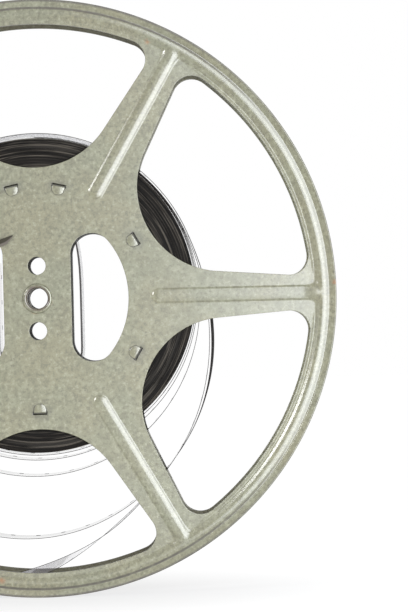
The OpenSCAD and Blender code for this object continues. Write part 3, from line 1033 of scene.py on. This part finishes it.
def at_top(t):
    """Whether t is on a middle turn, near the top of the winding."""
    return TOP_TURNS[0] < t < TOP_TURNS[1] and TOP_REACH[0] < t - round(t) < TOP_REACH[1]


def tail_slot(row):
    """The tail's face, clear along the perforations."""
    return CLEAR if row > 4 else TAIL


def loose_top(t, row):
    """The outer face: base, then emulsion on the last turn, then the clear tail."""
    return tail_slot(row) if t > CLEAR_TURN else EMULSION if t > EMULSION_TURN else BASE


def loose_under(t, row):
    """The inner face: base, clear at the top and along the tail."""
    return tail_slot(row) if t > CLEAR_TURN else CLEAR if at_top(t) else BASE


def loose_edge(t, row):
    """The thin edges, clear at the top and round the tail's perforations."""
    return CLEAR if at_top(t) or t > CLEAR_TURN and 3 < row < 6 else EDGE_FACE


strip_piece("film_loose_strip", "film_loose_turns",
            strip_mesh(loose_path, loose_twist, LOOSE_CUP, LAST_TURN, loose_top, loose_under, loose_edge))

# Inner end: through the drum's slot, down beside the spindle, round a loop and up again
INNER_X = 12.95
INNER_LEFT = 11.5
INNER_LOW_Z = -5.0
INNER_LOOP_Z = -14.9
INNER_TOP_Z = 11.0
INNER_LOOP_R = (INNER_X + INNER_LEFT) / 2
INNER_TWIST = 2.0
INNER_DARK_FROM = 2.6
INNER_CUP = 0.05


def inner_path(t):
    """t from 0 to 1 down to the straight, to 2 down to the loop, to 3 round it and to 4 up the left side."""
    t = np.asarray(t, float)
    z = DRUM_R + (INNER_LOW_Z - DRUM_R) * t
    drop = np.stack([INNER_X * (1 - np.maximum(0, 1 - t) ** 4), z], -1)
    down = np.stack([np.full_like(t, INNER_X), INNER_LOW_Z + (INNER_LOOP_Z - INNER_LOW_Z) * (t - 1)], -1)
    loop = polar(INNER_LOOP_R, -180 * (t - 2)) + [INNER_X - INNER_LOOP_R, INNER_LOOP_Z]
    rise = np.stack([np.full_like(t, -INNER_LEFT), INNER_LOOP_Z + (INNER_TOP_Z - INNER_LOOP_Z) * (t - 3)], -1)
    pick = np.clip(np.floor(t), 0, 3)[..., None]
    return np.where(pick < 1, drop, np.where(pick < 2, down, np.where(pick < 3, loop, rise)))


def inner_twist(t):
    """Lean of the inner end in degrees, from the drum's slot to the loop."""
    return INNER_TWIST * step(t / 0.6) * step((INNER_DARK_FROM - t) / 0.5)


def inner_slot(t, row):
    """The inner end's face: dark along the front edge and beyond the loop."""
    return BASE if t > INNER_DARK_FROM else EDGE_FACE if row < 2 else INNER


strip_piece("film_inner_strip", "film_inner_end",
            strip_mesh(inner_path, inner_twist, INNER_CUP, 4.0, inner_slot, inner_slot, inner_slot))

# The film's cut corner, bent forward through the left window to a point over the web
TIP_STEPS = 33
TIP_RAILS = (((-11.5, -7.9, 10.6), (-12.3, -8.7, 13.0), (-12.6, -9.7, 15.0),
              (-11.2, -10.2, 17.45), (-9.0, -10.2, 18.35), (-6.9, -10.15, 19.05)),
             ((-11.5, -3.5, 10.6), (-12.1, -5.5, 12.6), (-12.5, -8.3, 13.9),
              (-11.6, -9.9, 15.1), (-8.9, -10.1, 16.35), (-6.9, -10.15, 18.5)))


def smooth_rail(points, count):
    """Points along a curve through the given ones."""
    p = np.array([points[0], *points, points[-1]], float)
    t = np.linspace(0, len(points) - 1, count)
    k = np.minimum(np.floor(t).astype(int), len(points) - 2)
    u = (t - k)[:, None]
    a, b, c, d = p[k], p[k + 1], p[k + 2], p[k + 3]
    return b + 0.5 * u * (c - a + u * (2 * a - 5 * b + 4 * c - d + u * (3 * (b - c) + d - a)))


def tip_mesh():
    """The tip between its two rails, as strip_mesh gives a strip."""
    rails = [smooth_rail(r, TIP_STEPS) for r in TIP_RAILS]
    along = np.gradient((rails[0] + rails[1]) / 2, axis=0)
    face = np.cross(along, rails[1] - rails[0])
    face /= np.linalg.norm(face, axis=1)[:, None]
    verts, uv = [], []
    for i in range(TIP_STEPS):
        for edge, h in ((0, 1), (0.5, 1), (1, 1), (1, -1), (0.5, -1), (0, -1)):
            verts.append(rails[0][i] * (1 - edge) + rails[1][i] * edge + face[i] * h * FILM_T / 2)
            uv.append((i * 0.04, 0.3 * edge))
    faces = outward(verts, tube_faces(TIP_STEPS, 6))
    return verts, faces, [TIP] * len(faces), uv


strip_piece("film_inner_tip", "film_inner_end", tip_mesh())

# Camera at the photograph's place: far in front, level, and rolled slightly
ROLL = math.radians(1.35)
RIGHT = Vector((math.cos(ROLL), 0, -math.sin(ROLL)))
UP = Vector((math.sin(ROLL), 0, math.cos(ROLL)))
BACK = Vector((0, -1, 0))
CAMERA_RIGHT, CAMERA_UP, CAMERA_BACK = 49.55, -2.23, 1059.55
LENS, SENSOR = 207.6, 36.0
CAMERA_PLACE = (CAMERA_RIGHT * RIGHT + CAMERA_UP * UP + CAMERA_BACK * BACK) * MM
camera = bpy.data.objects.new("camera", bpy.data.cameras.new("camera"))
camera.data.lens = LENS
camera.data.sensor_width = SENSOR
camera.data.clip_start, camera.data.clip_end = 0.01, 50.0
camera.matrix_world = Matrix.Translation(CAMERA_PLACE) @ Matrix((RIGHT, UP, BACK)).transposed().to_4x4()
bpy.context.scene.collection.objects.link(camera)
bpy.context.scene.camera = camera

# Table: its glow to the camera, dimmer under the reel as a painted shadow, turns to white at a set reach;
# TABLE_BOUNCE lights the reel from below
TABLE_Z = -FLANGE_R * MM
TABLE_HALF, TABLE_FRONT = 3.0, -0.12
PAINTED_SHADOW_GLOW, PAINTED_SHADOW_REACH = 0.77, 0.13
TABLE_BOUNCE = 0.35
table = bpy.data.meshes.new("table")
table.from_pydata([(-TABLE_HALF, TABLE_FRONT, TABLE_Z), (TABLE_HALF, TABLE_FRONT, TABLE_Z),
                   (TABLE_HALF, TABLE_HALF, TABLE_Z), (-TABLE_HALF, TABLE_HALF, TABLE_Z)], [], [(0, 1, 2, 3)])
table.materials.append(table_material())
table_top = bpy.data.objects.new("table", table)
bpy.context.scene.collection.objects.link(table_top)

# Light: a large soft box at the camera's right with a brighter core, a small one raking from the left,
# a faint one off the table and a pale room
ROOM_LIGHT = 0.07


def soft_box(name, place, target, size, power, colour=(1, 1, 1)):
    """A rectangular lamp at a place, facing a target."""
    lamp = bpy.data.lights.new(name, "AREA")
    lamp.shape, lamp.size, lamp.size_y, lamp.energy = "RECTANGLE", size[0], size[1], power
    lamp.color = colour
    made = bpy.data.objects.new(name, lamp)
    made.location = place
    made.rotation_mode = "QUATERNION"
    made.rotation_quaternion = (Vector(target) - Vector(place)).to_track_quat("-Z", "Y")
    made.visible_camera = False
    bpy.context.scene.collection.objects.link(made)


soft_box("key", (0.27, -0.556, 0.025), (0.045, 0, 0), (0.43, 0.56), 2.8, (0.96, 1.0, 1.04))
soft_box("core", (0.225, -0.57, 0.015), (0.045, 0, 0), (0.12, 0.30), 0.24)
soft_box("fill", (-0.30, -0.365, 0.16), (0, 0, 0), (0.09, 0.13), 0.52)
soft_box("bounce", (-0.07, -0.15, -0.074), (0, 0, 0), (0.22, 0.03), 0.013)

world = bpy.data.worlds.new("room")
world.use_nodes = True
nodes, links = world.node_tree.nodes, world.node_tree.links
room, white = nodes["Background"], nodes.new("ShaderNodeBackground")
for background, strength in ((room, ROOM_LIGHT), (white, 1.0)):
    background.inputs["Color"].default_value = (1, 1, 1, 1)
    background.inputs["Strength"].default_value = strength
chosen = nodes.new("ShaderNodeMixShader")
links.new(direct_rays(world.node_tree), chosen.inputs[0])
links.new(room.outputs[0], chosen.inputs[1])
links.new(white.outputs[0], chosen.inputs[2])
links.new(chosen.outputs[0], nodes["World Output"].inputs["Surface"])
bpy.context.scene.world = world
bpy.context.scene.view_settings.view_transform = "Standard"
